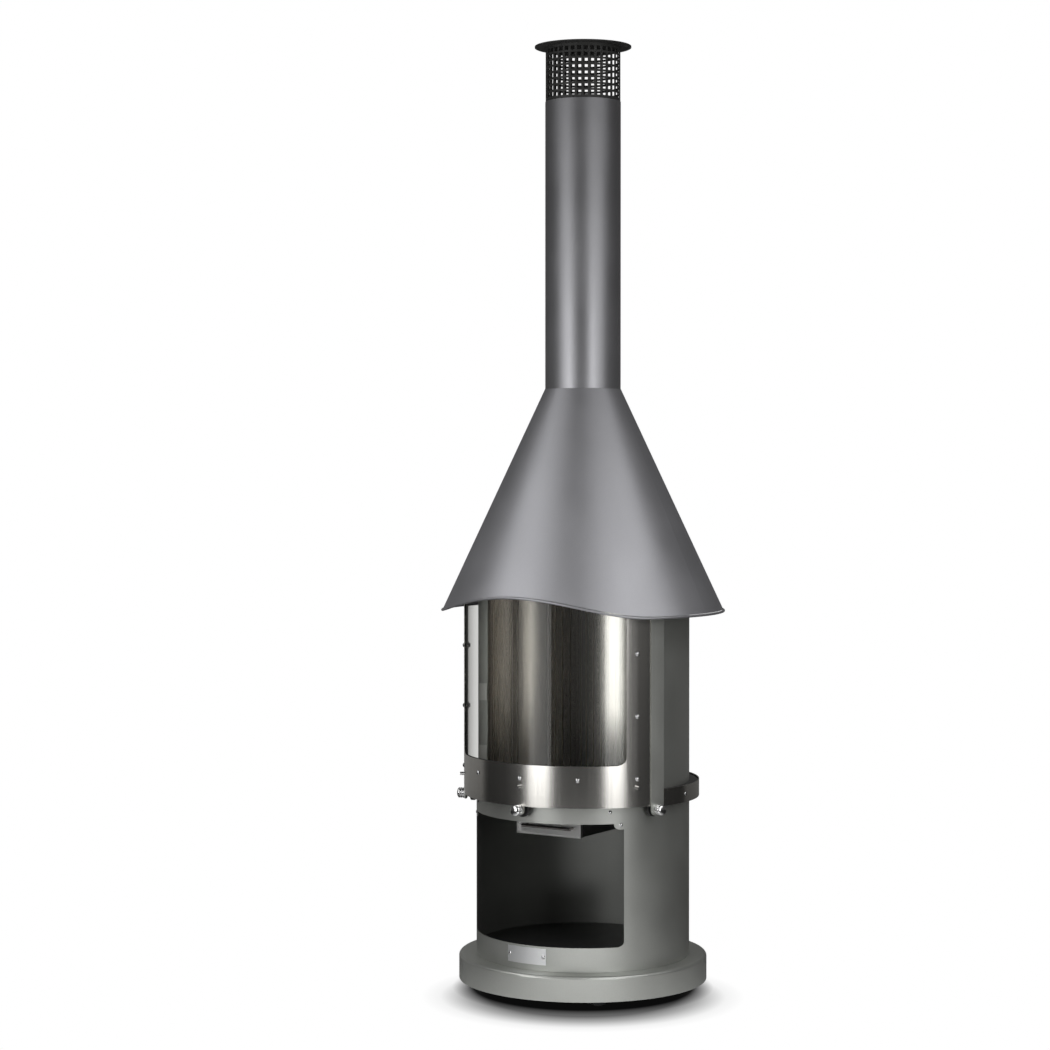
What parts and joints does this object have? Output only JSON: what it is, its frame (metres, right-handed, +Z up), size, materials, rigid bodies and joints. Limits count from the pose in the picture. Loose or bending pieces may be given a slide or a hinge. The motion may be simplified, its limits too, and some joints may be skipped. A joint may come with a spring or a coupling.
{
  "type": "outdoor fireplace",
  "caption": "Tall cylindrical garden fireplace on castors, with a log store, a glazed wind shield that turns on a rail, a conical hood and a flue with a spark arrestor.",
  "frame": {"origin": "on the floor under the middle of the round plinth", "axes": "+Z up along the body's own axis; -Y is the front, where the log opening, the drawer and the name plate face; +X is the right-hand side seen from the front"},
  "size_m": [0.6772, 0.6569, 2.2428],
  "materials": {
    "body_paint": "satin grey powder coat with a fine metallic fleck",
    "hood_paint": "satin cool grey metallic paint",
    "cap_paint": "dark matt heat-proof paint",
    "inner_paint": "black matt heat-proof paint",
    "stainless": "stainless sheet with a fine grain that runs round it",
    "liner_steel": "stainless sheet with a soft grain, lightly heat-tinted",
    "bright_steel": "turned and polished stainless",
    "fastener_steel": "bright stainless fasteners",
    "plain_steel": "plain mill-finish steel",
    "zinc_steel": "pressed steel, zinc plated",
    "castor_rubber": "black rubber on a black hub",
    "roller_plastic": "black heat-proof moulding",
    "fire_iron": "rough cast iron",
    "glass": "clear curved heat-proof glass",
    "gasket_rope": "dark rope gasket"
  },
  "bodies": {
    "root": {"plinth": "body_paint", "castor_plates": "zinc_steel", "castor_bolts": "fastener_steel", "store_shell": "body_paint", "log_floor": "inner_paint", "name_plate": "stainless", "plate_rivets": "fastener_steel", "shell_screws": "fastener_steel", "fire_pan": "inner_paint", "fire_grate": "fire_iron", "drawer_runners": "inner_paint", "fire_shell": "body_paint", "fire_liner": "liner_steel", "grill_hooks": "plain_steel", "roller_rail": "plain_steel", "hood": "hood_paint", "hood_rim": "hood_paint", "hood_brackets": "inner_paint", "flue_spigot": "inner_paint", "flue_pipe": "hood_paint", "spark_arrestor": "cap_paint", "cap_disc": "cap_paint"},
    "shield": {"shield_frame": "stainless", "shield_glass": "glass", "glass_gasket": "gasket_rope", "glass_clips": "fastener_steel", "shield_posts": "body_paint", "back_ring": "stainless", "ring_packers": "inner_paint", "shield_bolts": "fastener_steel", "roller_pins": "bright_steel", "shield_knobs": "bright_steel"},
    "ash_drawer": {"ash_tray": "plain_steel", "drawer_front_plate": "stainless", "drawer_handle": "bright_steel", "drawer_bolts": "fastener_steel"},
    "castor_fork_1": {"castor_fork_1": "zinc_steel"},
    "castor_wheel_1": {"castor_wheel_1": "castor_rubber"},
    "castor_fork_2": {"castor_fork_2": "zinc_steel"},
    "castor_wheel_2": {"castor_wheel_2": "castor_rubber"},
    "castor_fork_3": {"castor_fork_3": "zinc_steel"},
    "castor_wheel_3": {"castor_wheel_3": "castor_rubber"},
    "castor_fork_4": {"castor_fork_4": "zinc_steel"},
    "castor_wheel_4": {"castor_wheel_4": "castor_rubber"},
    "top_roller_1": {"top_roller_1": "roller_plastic"},
    "top_roller_2": {"top_roller_2": "roller_plastic"},
    "top_roller_3": {"top_roller_3": "roller_plastic"},
    "keeper_roller_1": {"keeper_roller_1": "roller_plastic"},
    "keeper_roller_2": {"keeper_roller_2": "roller_plastic"},
    "keeper_roller_3": {"keeper_roller_3": "roller_plastic"}
  },
  "joints": [
    {"name": "shield_turn", "type": "hinge", "parent": "root", "child": "shield", "pos_m": [0, 0, 0.49765], "axis": [0, 0, 1], "continuous": true},
    {"name": "drawer_slide", "type": "slide", "parent": "root", "child": "ash_drawer", "axis": [0, -1, 0], "range_m": [0, 0.22]},
    {"name": "castor_swivel_1", "type": "hinge", "parent": "root", "child": "castor_fork_1", "pos_m": [0.14991, -0.14991, 0.075], "axis": [0, 0, 1], "continuous": true},
    {"name": "castor_roll_1", "type": "hinge", "parent": "castor_fork_1", "child": "castor_wheel_1", "pos_m": [0.1401, -0.165, 0.028], "axis": [0.8387, -0.5446, 0], "continuous": true},
    {"name": "castor_swivel_2", "type": "hinge", "parent": "root", "child": "castor_fork_2", "pos_m": [0.14991, 0.14991, 0.075], "axis": [0, 0, 1], "continuous": true},
    {"name": "castor_roll_2", "type": "hinge", "parent": "castor_fork_2", "child": "castor_wheel_2", "pos_m": [0.1401, 0.13481, 0.028], "axis": [0.8387, -0.5446, 0], "continuous": true},
    {"name": "castor_swivel_3", "type": "hinge", "parent": "root", "child": "castor_fork_3", "pos_m": [-0.14991, 0.14991, 0.075], "axis": [0, 0, 1], "continuous": true},
    {"name": "castor_roll_3", "type": "hinge", "parent": "castor_fork_3", "child": "castor_wheel_3", "pos_m": [-0.15971, 0.13481, 0.028], "axis": [0.8387, -0.5446, 0], "continuous": true},
    {"name": "castor_swivel_4", "type": "hinge", "parent": "root", "child": "castor_fork_4", "pos_m": [-0.14991, -0.14991, 0.075], "axis": [0, 0, 1], "continuous": true},
    {"name": "castor_roll_4", "type": "hinge", "parent": "castor_fork_4", "child": "castor_wheel_4", "pos_m": [-0.15971, -0.165, 0.028], "axis": [0.8387, -0.5446, 0], "continuous": true},
    {"name": "top_roll_1", "type": "hinge", "parent": "shield", "child": "top_roller_1", "pos_m": [0, -0.267, 0.50995], "axis": [0, -1, 0], "continuous": true},
    {"name": "top_roll_2", "type": "hinge", "parent": "shield", "child": "top_roller_2", "pos_m": [0.22443, -0.14464, 0.50995], "axis": [0.8406, -0.5417, 0], "continuous": true},
    {"name": "top_roll_3", "type": "hinge", "parent": "shield", "child": "top_roller_3", "pos_m": [-0.22443, -0.14464, 0.50995], "axis": [-0.8406, -0.5417, 0], "continuous": true},
    {"name": "keeper_roll_1", "type": "hinge", "parent": "shield", "child": "keeper_roller_1", "pos_m": [0, -0.267, 0.45655], "axis": [0, -1, 0], "continuous": true},
    {"name": "keeper_roll_2", "type": "hinge", "parent": "shield", "child": "keeper_roller_2", "pos_m": [0.24756, -0.10002, 0.45655], "axis": [0.9272, -0.3746, 0], "continuous": true},
    {"name": "keeper_roll_3", "type": "hinge", "parent": "shield", "child": "keeper_roller_3", "pos_m": [-0.24756, -0.10002, 0.45655], "axis": [-0.9272, -0.3746, 0], "continuous": true}
  ],
  "couplings": [
    {"joint": "top_roll_1", "follows": "shield_turn", "ratio": -22.25},
    {"joint": "top_roll_2", "follows": "shield_turn", "ratio": -22.25},
    {"joint": "top_roll_3", "follows": "shield_turn", "ratio": -22.25},
    {"joint": "keeper_roll_1", "follows": "shield_turn", "ratio": 15.257},
    {"joint": "keeper_roll_2", "follows": "shield_turn", "ratio": 15.257},
    {"joint": "keeper_roll_3", "follows": "shield_turn", "ratio": 15.257}
  ]
}
